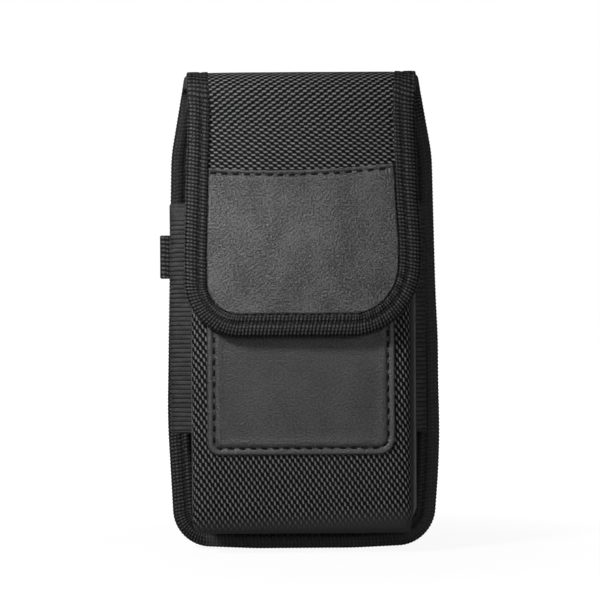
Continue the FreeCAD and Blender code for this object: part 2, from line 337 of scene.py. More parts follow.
def grid_value(values, rows, columns, at_row, at_column):
    """Values between the points of a grid with rows and columns at the given places."""
    r = np.clip(np.interp(at_row, rows, np.arange(len(rows))), 0, len(rows) - 1.001)
    c = np.clip(np.interp(at_column, columns, np.arange(len(columns))), 0, len(columns) - 1.001)
    i, j = r.astype(int), c.astype(int)
    u, v = r - i, c - j
    upper = values[i, j] * (1 - v) + values[i, j + 1] * v
    lower = values[i + 1, j] * (1 - v) + values[i + 1, j + 1] * v
    return upper * (1 - u) + lower * u


def filled_out(flat, thickness, held, cap):
    """How far a padded panel's face rises between its held points, simulated ten times larger."""
    rows, columns = flat.shape[:2]
    grown = 0.01
    face = np.concatenate([flat, np.full((rows, columns, 1), thickness)], -1) * grown
    index = numbered(rows, columns)
    front = quads(index)
    points = np.concatenate([face.reshape(-1, 3), (face * [1, 1, 0]).reshape(-1, 3)])
    faces = np.concatenate([front, front[:, ::-1] + index.size, rim_faces(index)])
    mesh = bpy.data.meshes.new("panel")
    mesh.from_pydata(points.tolist(), [], faces.tolist())
    panel = placed("panel", mesh)
    pins = panel.vertex_groups.new(name="held")
    pins.add(index[held].tolist() + (index.ravel() + index.size).tolist(), 1.0, "REPLACE")
    cloth = panel.modifiers.new("cloth", "CLOTH")
    cloth.settings.vertex_group_mass = "held"
    cloth.settings.use_pressure = True
    cloth.settings.uniform_pressure_force = 4.0
    cloth.settings.effector_weights.gravity = 0.0
    for step in range(1, 21):
        scene.frame_set(step)
    filled = panel.evaluated_get(bpy.context.evaluated_depsgraph_get()).to_mesh()
    place = np.empty(len(filled.vertices) * 3)
    filled.vertices.foreach_get("co", place)
    rise = place.reshape(-1, 3)[: index.size, 2].reshape(rows, columns) / grown - thickness
    scene.frame_set(1)
    bpy.data.objects.remove(panel)
    return cap * np.clip(rise, 0, None) / rise.max()


def finished(piece, materials, slot, *nodes):
    """Gives a piece its materials and its body, and hides the CAD nodes it stands for."""
    for material in materials:
        piece.data.materials.append(material)
    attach(piece, "root")
    if nodes:
        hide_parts(*nodes)


def point_values(piece, name, values):
    piece.data.attributes.new(name, "FLOAT", "POINT").data.foreach_set("value", values)


# Materials


class Term:
    """A value in a material's nodes, with the arithmetic of a number."""

    def __init__(self, surface, socket):
        self.surface = surface
        self.socket = socket

    def __add__(self, other):
        return self.surface.math("ADD", self, other)

    def __sub__(self, other):
        return self.surface.math("SUBTRACT", self, other)

    def __rsub__(self, other):
        return self.surface.math("SUBTRACT", other, self)

    def __mul__(self, other):
        return self.surface.math("MULTIPLY", self, other)

    def __truediv__(self, other):
        return self.surface.math("DIVIDE", self, other)

    def __abs__(self):
        return self.surface.math("ABSOLUTE", self)


class Surface:
    """A cloth or leather material, built from the cloth coordinate in millimetres."""

    def __init__(self, name, roughness, specular):
        self.material = bpy.data.materials.new(name)
        self.material.use_nodes = True
        self.tree = self.material.node_tree
        self.base = self.tree.nodes["Principled BSDF"]
        self.base.inputs["Roughness"].default_value = roughness
        self.base.inputs["Specular IOR Level"].default_value = specular
        self.place = self.tree.nodes.new("ShaderNodeTexCoord").outputs["UV"]
        parts = self.tree.nodes.new("ShaderNodeSeparateXYZ")
        self.tree.links.new(self.place, parts.inputs[0])
        self.u = Term(self, parts.outputs["X"])
        self.v = Term(self, parts.outputs["Y"])

    def node(self, kind, output, inputs, **settings):
        """One output of a new node, whose inputs are set to numbers or joined to terms."""
        node = self.tree.nodes.new(kind)
        for name, value in settings.items():
            setattr(node, name, value)
        for name, value in inputs.items():
            if isinstance(value, Term):
                self.tree.links.new(value.socket, node.inputs[name])
            else:
                node.inputs[name].default_value = value
        return Term(self, node.outputs[output])

    def math(self, operation, a, b=0.0):
        return self.node("ShaderNodeMath", 0, {0: a, 1: b}, operation=operation)

    def ramp(self, value, low, high, to_low=0.0, to_high=1.0):
        inputs = dict(enumerate((value, low, high, to_low, to_high)))
        return self.node("ShaderNodeMapRange", 0, inputs, interpolation_type="SMOOTHSTEP")

    def scaled(self, across, along):
        """The cloth coordinate counted in grains of that many millimetres."""
        inputs = {0: Term(self, self.place), 1: (1 / across, 1 / along, 1.0)}
        return self.node("ShaderNodeVectorMath", 0, inputs, operation="MULTIPLY")

    def noise(self, across, along, detail=2.0):
        """Noise from 0 to 1 whose grains are that many millimetres across and along."""
        inputs = {"Scale": 1.0, "Detail": detail, "Vector": self.scaled(across, along)}
        return self.node("ShaderNodeTexNoise", "Fac", inputs)

    def attribute(self, name):
        return self.node("ShaderNodeAttribute", "Fac", {}, attribute_name=name)

    def coated(self, share, greys, height, depth):
        """The material, from one grey to the other by share, with bumps depth millimetres high."""
        dark, light = [(grey, grey, grey * BLUE, 1) for grey in greys]
        inputs = {"Factor": share, "A": dark, "B": light}
        mixed = self.node("ShaderNodeMix", "Result", inputs, data_type="RGBA")
        self.tree.links.new(mixed.socket, self.base.inputs["Base Color"])
        inputs = {"Strength": 1.0, "Distance": depth / 1000, "Height": height}
        bump = self.node("ShaderNodeBump", "Normal", inputs)
        self.tree.links.new(bump.socket, self.base.inputs["Normal"])
        return self.material


def weave(name, period, row, step, slants, greys, faded=None):
    """Ballistic nylon: short floats in rows, each row step of a float beside the last. The floats'
    crowns are painted light grey as a painted sheen, and the gaps between them near-black as painted
    shade.

    Rows lean by slants, one before the turn and one after. A cloth with faded, the heights where
    its weave fades out, is turned a quarter.
    """
    s = Surface(name, 0.6, 0.08)
    wander = (s.noise(9.0, 9.0) - 0.5) * 0.5
    lengthwise, crosswise = s.u, s.v
    if faded:
        lengthwise = s.v - s.u * POCKET_TILT
        crosswise = s.u + s.v * POCKET_TILT
    lines = crosswise / row + wander
    number = s.math("FLOOR", lines)
    within = s.math("FRACT", lines)
    phase = lengthwise / period - number * step
    phase = phase + within * s.ramp(s.v, *LEAN_TURN, *slants)
    phase = s.math("FRACT", phase + wander * 0.5)
    along = s.ramp(abs(phase - 0.5), 0.43, 0.14)
    height = along * (s.math("SINE", within * math.pi) * 0.68 + 0.32)
    threads = s.noise(0.16, 1.2, 1.0) if faded else s.noise(1.2, 0.16, 1.0)
    # Painted sheen and shade: the floats' crowns light grey, the gaps near-black
    share = s.math("POWER", height, 2.7) * s.ramp(threads, 0.2, 0.75, 0.5, 1.15)
    if faded:
        woven = s.ramp(s.v - s.u * 0.05, *faded)
        height = height * woven
        share = share * woven + (1.0 - woven) * 0.16
    return s.coated(share, greys, height + threads * 0.25, 0.34)


def plain_cloth(name, greys, pitch):
    """Fine plain cloth and thread."""
    s = Surface(name, 0.6, 0.12)
    warp = s.math("SINE", s.u * (math.tau / pitch))
    height = warp * s.math("SINE", s.v * (math.tau / pitch))
    return s.coated(height * 0.2 + s.noise(3.0, 3.0), greys, height, 0.04)


def strip_cloth(name, greys):
    """Plain cloth of the pocket's side strip, with a painted highlight along its outer edge."""
    s = Surface(name, 0.55, 0.3)
    # Painted highlight: a light line along the strip's outer edge, none near the mouth
    painted_highlight = s.ramp(abs(s.u), STRIP_HIGHLIGHT - 0.9, STRIP_HIGHLIGHT)
    painted_highlight = painted_highlight * s.ramp(s.v, POCKET_MOUTH - 4.0, POCKET_MOUTH - 12.0)
    share = painted_highlight * s.ramp(s.noise(0.8, 2.5), 0.3, 0.7, 0.7, 1.1)
    return s.coated(share, greys, s.noise(0.5, 0.5), 0.06)


def ribbed_tape(name, greys, pitch, seam, cover):
    """Woven tape: bright ribs across it, out of step on the two sides of its seam, with painted shade
    along its inner edge and painted light and shade where its point attributes ask.
    """
    s = Surface(name, 0.6, 0.16)
    inset = abs(s.u)
    inner = s.math("GREATER_THAN", inset, seam)
    wander = (s.noise(2.5, 4.0) - 0.5) * 0.45
    phase = s.v / pitch + inset * (RIB_SLANT / pitch) + wander + inner * TAPE_STEP
    rib = s.ramp(s.math("COSINE", phase * math.tau), -0.5, 0.85)
    threads = s.noise(0.6, 0.35)
    groove = s.ramp(abs(inset - seam), 0.1, 0.6)
    bead = s.math("COSINE", (inset / TAPE_BEAD + wander) * math.tau)
    share = rib * s.ramp(bead, -0.7, 0.7, 0.3, 1.5) * s.ramp(threads, 0.36, 0.64, 0.2, 1.6)
    share = share * (groove * 0.3 + 0.7)
    # Painted shade: darker towards the tape's inner edge, where it meets the cloth
    share = share * s.ramp(inset, cover, cover - 0.9, 0.25, 1.0)
    # Painted light and shade: where the point attributes ask, the ribs give way to a flat painted grey
    share = share * (1.0 - s.attribute("painted_light_mask")) + s.attribute("painted_light_tone")
    return s.coated(share, greys, rib + threads * 0.5, 0.2)


def elastic_cloth(name, greys):
    """Woven elastic: flat cords with a thin dark line between them."""
    s = Surface(name, 0.6, 0.16)
    cord = abs(s.math("FRACT", s.v / ELASTIC_RIB) - 0.5)
    hem = s.ramp(s.v, ELASTIC_HIGH - 6.4, ELASTIC_HIGH - 5.6, 0.0, 0.7)
    line = s.math("MAXIMUM", s.ramp(cord, 0.5, 0.22), hem)
    threads = s.noise(0.4, 1.1)
    share = line * s.ramp(threads, 0.3, 0.7, 0.5, 1.1)
    share = share * s.ramp(s.noise(5.0, 2.2), 0.3, 0.7, 0.6, 1.2)
    return s.coated(share, greys, line + threads * 0.5, 0.12)


def leather_surface(name, greys, depth):
    """Fine-grained leather with soft cloudy tone, and a painted highlight along a patch's rim where
    its rim attribute asks.
    """
    s = Surface(name, 0.52, 0.8)
    pores = s.noise(0.66, 0.7, 2.5)
    share = s.noise(10.0, 16.0, 3.0) * 0.25 + pores * 0.75
    # Painted highlight: the rim attribute lightens the pocket patch's rim
    share = s.ramp(share, 0.43, 0.57, 0.0, 0.5) + s.attribute("rim") * 0.5
    return s.coated(share, greys, pores, depth)


def webbing_cloth(name, greys):
    """Heavy webbing: a rib weave with a chevron."""
    s = Surface(name, 0.6, 0.35)
    slanted = s.v / 1.5 + s.math("PINGPONG", s.u, 4.0) / 3.0
    height = s.ramp(s.math("SINE", slanted * math.tau), -0.9, 0.7)
    threads = s.noise(0.3, 0.9)
    return s.coated(height * s.ramp(threads, 0.2, 0.8, 0.6, 1.0), greys, height + threads * 0.4, 0.22)


def fuzz(name, greys, grain, depth, roughness):
    """Hook or loop face of the closure."""
    s = Surface(name, roughness, 0.3)
    inputs = {"Scale": 1.0, "Vector": s.scaled(grain, grain)}
    tufts = s.node("ShaderNodeTexVoronoi", "Distance", inputs)
    strands = s.noise(grain * 0.5, grain * 0.5, 4.0)
    return s.coated(tufts * (strands * 2.0), greys, tufts + strands, depth)


flap_weave = weave("nylon_weave", 2.925, 0.98, 0.543, (0.15, -0.18), (0.001, 0.24))
pocket_weave = weave("pocket_nylon_weave", 3.0, 1.005, 0.5, (0.23, 0.23), (0.001, 0.2), WEAVE_FADE)
lining = plain_cloth("lining_cloth", (0.02, 0.035), 0.5)
side_strip = strip_cloth("side_strip_cloth", (0.025, 0.12))
tape_cloth = ribbed_tape("binding_cloth", (0.002, 0.068), TAPE_RIB, TAPE_SEAM, TAPE_COVER)
loop_tape_cloth = ribbed_tape("loop_tape_cloth", (0.004, 0.08), 1.6, 60.0, 60.0)
elastic = elastic_cloth("elastic_cloth", (0.006, 0.045))
# The flap's leather has a lighter grey than the pocket's: painted light for the highlight the flap
# catches. Its deeper grain is its own.
flap_leather_cloth = leather_surface("grained_leather", (0.002, 0.14), 0.55)
pocket_leather_cloth = leather_surface("smooth_leather", (0.003, 0.053), 0.36)
webbing = webbing_cloth("webbing_cloth", (0.01, 0.05))
loop_fuzz = fuzz("closure_loops", (0.01, 0.05), 0.5, 0.3, 0.9)
hook_face = fuzz("closure_hooks", (0.01, 0.04), 0.9, 0.4, 0.5)
thread = plain_cloth("sewing_thread", (0.003, 0.006), 0.3)
binding_thread = plain_cloth("binding_thread", (0.006, 0.02), 0.3)


# Cloth outline


def outline_loop(step):
    """The cut cloth's closed outline and its inward normals, evenly spaced, with its length."""
    left = [(-x, q) for x, q in OUTLINE[::-1]]
    radii = OUTLINE_RADII + FLAP_CORNERS + OUTLINE_RADII[::-1]
    loop = rounded_path(OUTLINE + left, radii, step)[:-1]
    ahead = unit(np.roll(loop, -1, 0) - np.roll(loop, 1, 0))
    inward = np.stack([-ahead[:, 1], ahead[:, 0]], -1)
    length = np.linalg.norm(loop - np.roll(loop, 1, 0), axis=1).sum()
    return loop, inward, length


def side_reach(inset):
    """A function that gives the cloth's left and right edge along it, drawn in from the outline."""
    loop, inward, _ = outline_loop(0.5)
    drawn = loop + inward * inset
    halves = []
    for half in (drawn[drawn[:, 0] < -5], drawn[drawn[:, 0] > 5]):
        halves.append(half[np.argsort(half[:, 1], kind="stable")].T)
    return lambda q: [np.interp(q, along, across) for across, along in halves]


# Laminate


def laminate_crown():
    """Crown of the padded laminate, as a function of place."""
    reach = side_reach(SIDE_MARGIN)
    rows = np.linspace(END_MARGIN, CLOTH_END - END_MARGIN, 66)
    columns = np.linspace(0.0, 1.0, 19)
    low, high = (side[:, None] for side in reach(rows))
    x = low + (high - low) * columns
    flat = np.stack([x, np.broadcast_to(rows[:, None], x.shape)], -1)
    held = np.minimum(x - low, high - x) < TAPE_COVER - SIDE_MARGIN
    from_sewn_end = np.abs(np.abs(rows[:, None] - WEBBING_MIDDLE) - WEBBING_REACH - 6.0)
    held |= (np.abs(x) < WEBBING_HALF) & (from_sewn_end < 6.0)
    held[[0, -1]] = True
    rise = filled_out(flat, LAMINATE, held, PANEL_RISE)

    def crown(across, along):
        low, high = reach(along)
        inset = np.minimum(across - low, high - across) + SIDE_MARGIN
        free = smoothstep(TAPE_COVER - 0.2, TAPE_COVER + 1.2, inset)
        return grid_value(rise, rows, columns, along, (across - low) / (high - low)) * free

    return crown


def laminate_piece():
    """The padded cloth of the back and the flap, in one piece."""
    reach = side_reach(SIDE_MARGIN)
    q = spaced(END_MARGIN, CLOTH_END - END_MARGIN, 0.8, 1.8, 8.0)
    t = spaced(0.0, 1.0, 0.0055, 0.025, 0.09)
    l, r = (side[:, None] for side in reach(q))
    x = l + (r - l) * t
    along = np.broadcast_to(q[:, None], x.shape)
    from_end = np.minimum(along - q[0], q[-1] - along) + END_MARGIN
    inset = np.minimum(np.minimum(x - l, r - x) + SIDE_MARGIN, from_end)
    free = smoothstep(TAPE_COVER - 0.2, TAPE_COVER + 1.2, inset)
    folded = fold_share(along)
    dip = 0.4 * bell(inset, TAPE_COVER + 0.5, 0.5)
    crown = rise_at(x, along) * (1 - 0.7 * folded) - dip * (1 - folded)
    crown += ripple(np.stack([x, along, np.zeros_like(x)], -1), 24.0, 3.1) * 0.15 * free
    crown += FOLD_RISE * folded * smoothstep(TAPE_COVER - 1.0, TAPE_COVER, inset)
    outer = cloth_point(x, along, LAMINATE / 2 + crown)
    inner = cloth_point(x, along, -LAMINATE / 2)
    outer_length = along + (LAMINATE / 2 + FOLD_RISE) * sum(bends(along))
    uv = np.stack([x, outer_length], -1)
    piece = shell("back_and_flap_laminate", outer[:, ::-1], inner[:, ::-1], uv[:, ::-1])
    finished(piece, [flap_weave, lining], "nylon_laminate", "back_and_flap_panel")
    numbers = np.arange(len(piece.data.polygons)) >= (len(q) - 1) * (len(t) - 1)
    piece.data.polygons.foreach_set("material_index", numbers.astype(np.int32))


# Binding


def tape_painted_light(x, q):
    """Painted light and shade on the back's tape: how far its ribs give way to a flat painted grey,
    and that grey. Painted shade at the upper left and along the right side, painted light from below
    along the bottom.
    """
    upper_left = smoothstep(118, 130, q) * (1 - smoothstep(166, 176, q)) * (x < 0)
    right = (1 - smoothstep(150, 165, q)) * smoothstep(20, 35, x)
    bottom = (1 - smoothstep(2, 12, q)) * smoothstep(-39, -32, x) * (1 - smoothstep(20, 35, x))
    painted_light_mask = 0.75 * upper_left + 0.75 * right + 0.5 * bottom
    return painted_light_mask[:, None], (0.08 * upper_left + 0.38 * right + 0.6 * bottom)[:, None]


def tape_height(inset, arc, folded, crispness):
    """How far the tape's face stands from the cloth's middle."""
    puff = (0.28 * bell(inset, 3.0, 1.25) + 0.16 * bell(inset, 6.6, 0.9)) * (1 - 0.8 * folded)
    groove = -0.24 * bell(inset, TAPE_SEAM, 0.5) * (1 - 0.8 * folded)
    hem = -0.35 * smoothstep(TAPE_COVER - 0.45, TAPE_COVER, inset)
    outer = np.cos(math.tau * (arc + RIB_SLANT * inset) / TAPE_RIB)
    inner = np.cos(math.tau * ((arc + RIB_SLANT * inset) / TAPE_RIB + TAPE_STEP))
    is_inner = smoothstep(TAPE_SEAM - 0.4, TAPE_SEAM + 0.4, inset)
    depth = 0.17 * (1 - bell(inset, TAPE_SEAM, 0.55))
    depth = depth * (1 - smoothstep(TAPE_COVER - 0.5, TAPE_COVER, inset))
    ribs = depth * (outer * (1 - is_inner) + inner * is_inner) * crispness
    return LAMINATE / 2 + TAPE_SEAT + TAPE + puff + groove + hem + ribs + 0.2 * folded


def tape_section(leg, steps):
    """Turn of the folded tape's nose, and the section's insets and sides of the cloth."""
    nose = np.linspace(math.pi / 2, -math.pi / 2, steps)[1:-1]
    insets = np.concatenate([leg, TAPE_NOSE * (1 - np.cos(nose)), leg[::-1]])
    sides = np.concatenate([np.ones(len(leg)), np.sin(nose), -np.ones(len(leg))])
    return nose, insets, sides


def binding():
    """The tape round the whole cloth, with its rounded nose and its ribs."""
    length = outline_loop(0.3)[2]
    ribs = round(length / TAPE_RIB)
    loop, inward, length = outline_loop(length / (ribs * RIB_STEPS))
    rows = len(loop)
    arc = np.arange(rows) * (ribs * TAPE_RIB / rows)
    leg = [7.9, 7.85, 7.5, 7.0, 6.3, 5.7, 5.3, 5.0, 4.7, 4.3, 3.7, 3.1, 2.6, 2.1]
    nose, insets, sides = tape_section(leg, 11)
    folded = fold_share(loop[:, 1])[:, None]
    painted_light_mask, painted_light_tone = tape_painted_light(loop[:, 0], loop[:, 1])
    # Where the painted grey lies, the ribs' relief is flattened as well
    crispness = 1 - 0.8 * painted_light_mask * (sides < 0)
    face = tape_height(np.clip(insets, TAPE_NOSE, None), arc[:, None], folded, crispness)
    roundness = 1 - 0.7 * folded
    out = face * np.sign(sides) * np.abs(sides) ** roundness
    tooth = 0.1 * np.cos(math.tau * arc / TAPE_RIB)[:, None] * (1 - np.abs(sides))
    inset = np.repeat(insets[None, :], rows, 0)
    inset[:, len(leg) : -len(leg)] = TAPE_NOSE * (1 - np.cos(nose) ** roundness)
    inside = LAMINATE / 2 + TAPE_SEAT
    cover = TAPE_COVER
    inset = np.concatenate([inset - tooth, np.full((rows, 4), [cover, 2.0, 2.0, cover])], 1)
    out = np.concatenate([out, np.full((rows, 4), [-inside, -inside, inside, inside])], 1)
    x = loop[:, 0, None] + inward[:, 0, None] * inset
    q = loop[:, 1, None] + inward[:, 1, None] * inset
    signed = np.concatenate([insets * np.sign(sides + 1e-9), [-cover, -2.0, 2.0, cover]])
    across = np.append(signed, signed[0])
    along = np.append(arc, ribs * TAPE_RIB)
    piece = tube("edge_binding_tape", cloth_point(x, q, out), along, across)
    # The painted grey of the tape fades inward, towards the tape's inner edge
    painted_tone_fade = 1 - 0.6 * smoothstep(3.5, 6.5, inset)
    point_values(piece, "painted_light_mask", np.where(out < 0, painted_light_mask, 0.0).ravel())
    point_values(piece, "painted_light_tone", np.where(out < 0, painted_light_tone * painted_tone_fade, 0.0).ravel())
    finished(piece, [tape_cloth], "binding_tape", "edge_binding")


def capsules(name, middles, ahead, up, length, radius, squeeze=1.0):
    """Stitches: short rounded threads."""
    turns = np.linspace(0, math.tau, 7)[:-1]
    stations = np.array([-0.5, -0.42, -0.2, 0.2, 0.42, 0.5]) * length
    girth = np.array([0.25, 0.75, 1.0, 1.0, 0.75, 0.25])[:, None]
    sink = np.array([-0.9, -0.35, 0.0, 0.0, -0.35, -0.9])[:, None] * radius
    up = np.broadcast_to(up, ahead.shape)
    side = np.cross(ahead, up)
    points = (
        middles[:, None, None]
        + ahead[:, None, None] * stations[:, None, None]
        + up[:, None, None] * (sink + radius * squeeze * girth * np.sin(turns))[..., None]
        + side[:, None, None] * (radius * girth * np.cos(turns))[..., None]
    )
    index = np.arange(len(middles) * 36).reshape(-1, 6, 6)
    faces = ring_faces(index[:, :-1], index[:, 1:])
    uv = np.tile([(0.0, 0.0), (0.3, 0.0), (0.3, 0.4), (0.0, 0.4)], (len(faces), 1))
    return new_object(name, points.reshape(-1, 3), faces, uv)


def binding_stitches():
    """The seam in the tape's groove, on both faces."""
    loop, inward, _ = outline_loop(2.3)
    x, q = (loop + inward * TAPE_SEAM).T
    seams = []
    for side in (1, -1):
        place = cloth_point(x, q, side * (LAMINATE / 2 + TAPE - 0.02))
        ahead = unit(np.roll(place, -1, 0) - np.roll(place, 1, 0))
        seams.append((place, ahead, cloth_side(q) * side))
    middles, ahead, up = (np.concatenate(part) for part in zip(*seams))
    piece = capsules("edge_binding_stitches", middles, ahead, up, 1.7, 0.22)
    finished(piece, [binding_thread], "binding_tape")


# Pocket


def evened(points, shares):
    """Points at shares of the length of a line."""
    lengths = run_lengths(points)
    return np.stack([np.interp(shares * lengths[-1], lengths, axis) for axis in points.T], -1)


def pocket_outline(half, bottom, corners, lean, columns, rows):
    """Points down the left side, along the bottom and up the right side of a pocket outline."""
    sides, feet = [], []
    for corner in corners:
        middle = np.array([-half + corner, bottom + corner])
        turn = np.linspace(math.pi, 1.5 * math.pi, 13)
        arc = middle + corner * np.stack([np.cos(turn), np.sin(turn)], -1)
        sides.append(evened(np.concatenate([[[-half, POCKET_MOUTH]], arc[:7]]), rows))
        feet.append(arc[6:])
    below = evened(np.concatenate([feet[0], feet[1][::-1] * [-1, 1]]), columns)
    right = sides[1][::-1] * [-1, 1]
    return np.concatenate([sides[0], below[1:-1], right]) + [lean, 0]


def pocket_crown():
    """Crown of the pocket's padded front, as a function of place."""
    x = np.linspace(-POCKET_FRONT_HALF + 1.0, POCKET_FRONT_HALF - 1.0, 17) + POCKET_LEAN
    z = np.linspace(POCKET_BOTTOM, POCKET_MOUTH, 25)
    flat = np.stack(np.meshgrid(x, z), -1)
    held = np.zeros(flat.shape[:2], bool)
    held[[0, -2, -1]] = True
    held[:, [0, -1]] = True
    rise = filled_out(flat, POCKET_WALL, held, POCKET_RISE)
    return lambda across, up: grid_value(rise, z, x, up, across)


def pocket_face(points):
    """Points of the pocket's front, moved by its crown, sides, creases and foot."""
    x, y, z = points[..., 0], points[..., 1], points[..., 2]
    sides = 0.8 * smoothstep(29.0, 40.0, np.abs(x - POCKET_LEAN)) ** 2
    below = 1 - smoothstep(POCKET_PATCH_LOW - 3.0, POCKET_PATCH_LOW, z)
    creases = 0.22 * (bell(x, CREASES[0], 0.8) + bell(x, CREASES[1], 0.8)) * below
    foot = 2.6 * np.clip((POCKET_BOTTOM + 9.0 - z) / 11.0, 0, 1) ** 2.6
    share = np.clip((POCKET_BACK - y) / (POCKET_BACK - POCKET_FRONT), 0, 1)
    moved = points.copy()
    moved[..., 1] = y + (sides + creases + foot - crown_at(x, z)) * share
    return moved


def pocket_rings():
    """Outlines of the pocket from its back to its front: half width, depth, lift, corners and lean."""
    depth = POCKET_BACK - POCKET_FRONT
    slope = (POCKET_BACK_HALF - POCKET_FRONT_HALF) / depth
    for behind in (depth, *POCKET_STEPS):
        share = behind / depth
        corners = np.array(POCKET_CORNERS) * (1 - share) + BACK_CORNER * share
        half = POCKET_FRONT_HALF + slope * behind
        yield half, behind, -POCKET_DROOP * (1 - share), corners, POCKET_LEAN * (1 - share)
    for angle in np.radians([0, 18, 36, 54, 72, 90]):
        inset = POCKET_EDGE * (1 - math.cos(angle))
        behind = POCKET_EDGE * (1 - math.sin(angle))
        half = POCKET_FRONT_HALF + slope * behind - inset
        yield half, behind, inset - POCKET_DROOP, np.array(POCKET_CORNERS) - inset * 0.9, POCKET_LEAN


def pocket_body():
    """The pocket's padded front and its side strip, in one shell."""
    columns = spaced(0.0, 1.0, 0.012, 0.026, 0.07)
    rows = spaced(0.0, 1.0, 0.01, 0.02, 0.05)
    n, m = len(rows), len(columns)
    loops = []
    for half, behind, lift, corners, lean in pocket_rings():
        flat = pocket_outline(half, POCKET_BOTTOM + lift, corners, lean, columns, rows)
        loops.append(np.insert(flat, 1, POCKET_FRONT + behind, axis=1))
    loops = np.array(loops)
    roll = bell(loops[..., 1] - POCKET_FRONT, 4.4, 0.8) * smoothstep(11.5, 17.0, loops[..., 2])
    side = loops[..., 0] - POCKET_LEAN
    loops[..., 0] += roll * np.where(side > 0, SIDE_ROLL[1], -SIDE_ROLL[0]) * (np.abs(side) > 30.0)

    def three_sides(rim):
        return rim[:n], rim[n - 1 : n + m - 1], rim[n + m - 2 :][::-1]

    left, below, right = three_sides(loops[-1])
    top = left[0] + (right[0] - left[0]) * columns[:, None]
    s = columns[:, None]
    t = rows[:, None, None]
    corners = (top[0] * (1 - t) + below[0] * t) * (1 - s) + (top[-1] * (1 - t) + below[-1] * t) * s
    front = left[:, None] * (1 - s) + right[:, None] * s + top * (1 - t) + below * t - corners
    walls = numbered(*loops.shape[:2])
    grid = np.full((n, m), -1)
    grid[:, 0], grid[-1], grid[:, -1] = three_sides(walls[-1])
    free = grid < 0
    grid[free] = walls.size + np.arange(free.sum())
    points = np.concatenate([loops.reshape(-1, 3), front[free]])
    sides = quads(walls)
    middle = points[sides].mean(1)
    sides = sides[(middle[:, 2] <= WINDOW_BOTTOM) | (middle[:, 1] <= WINDOW_FRONT)]
    both = np.concatenate([sides, quads(grid, -1)])
    rim = loops[-1][:, [0, 2]]
    ahead = unit(np.gradient(rim, axis=0))
    outward = np.stack([ahead[:, 1], -ahead[:, 0]], -1)
    steps = np.linalg.norm(np.diff(loops[::-1], axis=0), axis=2)
    unrolled = np.concatenate([np.zeros((1, len(rim))), np.cumsum(steps, 0)])[::-1]
    place = (rim + outward * unrolled[..., None]).reshape(-1, 2)
    uv = np.concatenate([place, points[walls.size :][:, [0, 2]]])[both]
    piece = new_object("pocket_shell", pocket_face(points), both, uv)
    finished(piece, [pocket_weave, side_strip, lining], "nylon_laminate", "pocket")
    numbers = np.zeros(len(both), np.int32)
    numbers[: len(sides)] = points[sides].mean(1)[:, 1] - POCKET_FRONT >= POCKET_EDGE * 0.8
    piece.data.polygons.foreach_set("material_index", numbers)
    wall = piece.modifiers.new("wall", "SOLIDIFY")
    wall.thickness = POCKET_WALL / 1000
    wall.offset = -1
    wall.material_offset = 2
    bpy.context.view_layer.update()
    graph = bpy.context.evaluated_depsgraph_get()
    thick = piece.evaluated_get(graph)
    mesh = bpy.data.meshes.new_from_object(thick, preserve_all_data_layers=True, depsgraph=graph)
    piece.modifiers.clear()
    piece.data = mesh


# Leather


def pocket_leather():
    """The patch on the pocket: a rounded rim, a sewn groove and a padded middle."""
    half = POCKET_PATCH_HALF
    x = spaced(-half, half, 0.3, 1.1, 6.0)
    z = spaced(POCKET_PATCH_LOW, POCKET_PATCH_HIGH, 0.3, 1.1, 6.0)
    gx, gz = np.meshgrid(x, z)
    radius = np.where(gx > 0, 6.2, 4.4)
    corner_x = np.clip(np.abs(gx) - (half - radius), 0, None)
    corner_z = np.clip(POCKET_PATCH_LOW + radius - gz, 0, None)
    far = np.hypot(corner_x, corner_z)
    square = np.maximum(corner_x, corner_z)
    pull = np.where(far > 1e-6, square / np.maximum(far, 1e-6), 1.0)
    gx = np.sign(gx) * (np.minimum(np.abs(gx), half - radius) + corner_x * pull)
    gz = np.where(corner_z > 0, POCKET_PATCH_LOW + radius - corner_z * pull, gz)
    straight = np.minimum(half - np.abs(gx), gz - POCKET_PATCH_LOW)
    inside = np.where(corner_x > 0, radius - square, straight)
    inside = np.minimum(inside, POCKET_PATCH_HIGH - gz)
    wave = np.cos(math.tau * (gz + gx) / STITCH_PITCH)
    height = LEATHER * edge_round(inside, 0.7)
    height = height - 0.6 * bell(inside, 2.5, 0.55) + (0.26 + 0.09 * wave) * bell(inside, 4.4, 1.4)
    seat = np.full_like(gx, POCKET_FRONT - 0.12)
    place = pocket_face(np.stack([gx + POCKET_LEAN, seat, gz], -1))
    height += ripple(place, 17.0, 8.0) * 0.22 * smoothstep(2.0, 9.0, inside)
    outer = place.copy()
    outer[..., 1] -= height
    piece = shell("pocket_leather_patch", outer, place, np.stack([gx, gz], -1))
    # Painted highlight along the patch's rim, stronger towards the right, kept in the point attribute
    # rim
    rim = bell(inside, 1.1, 0.8) * (0.45 + 0.6 * smoothstep(0, half, gx))
    point_values(piece, "rim", np.tile(rim.ravel(), 2))
    finished(piece, [pocket_leather_cloth], "leather", "pocket_patch")


def flap_patch_edge(t):
    """Where the flap patch's slack upper edge is along the cloth, at t of its width."""
    slack = 1.25 * (1 - (2 * t - 1) ** 2)
    return cloth_z(FLAP_PATCH_TOP) + slack + np.interp(t, [0, 0.5, 1], [0.35, 0, -1.1])


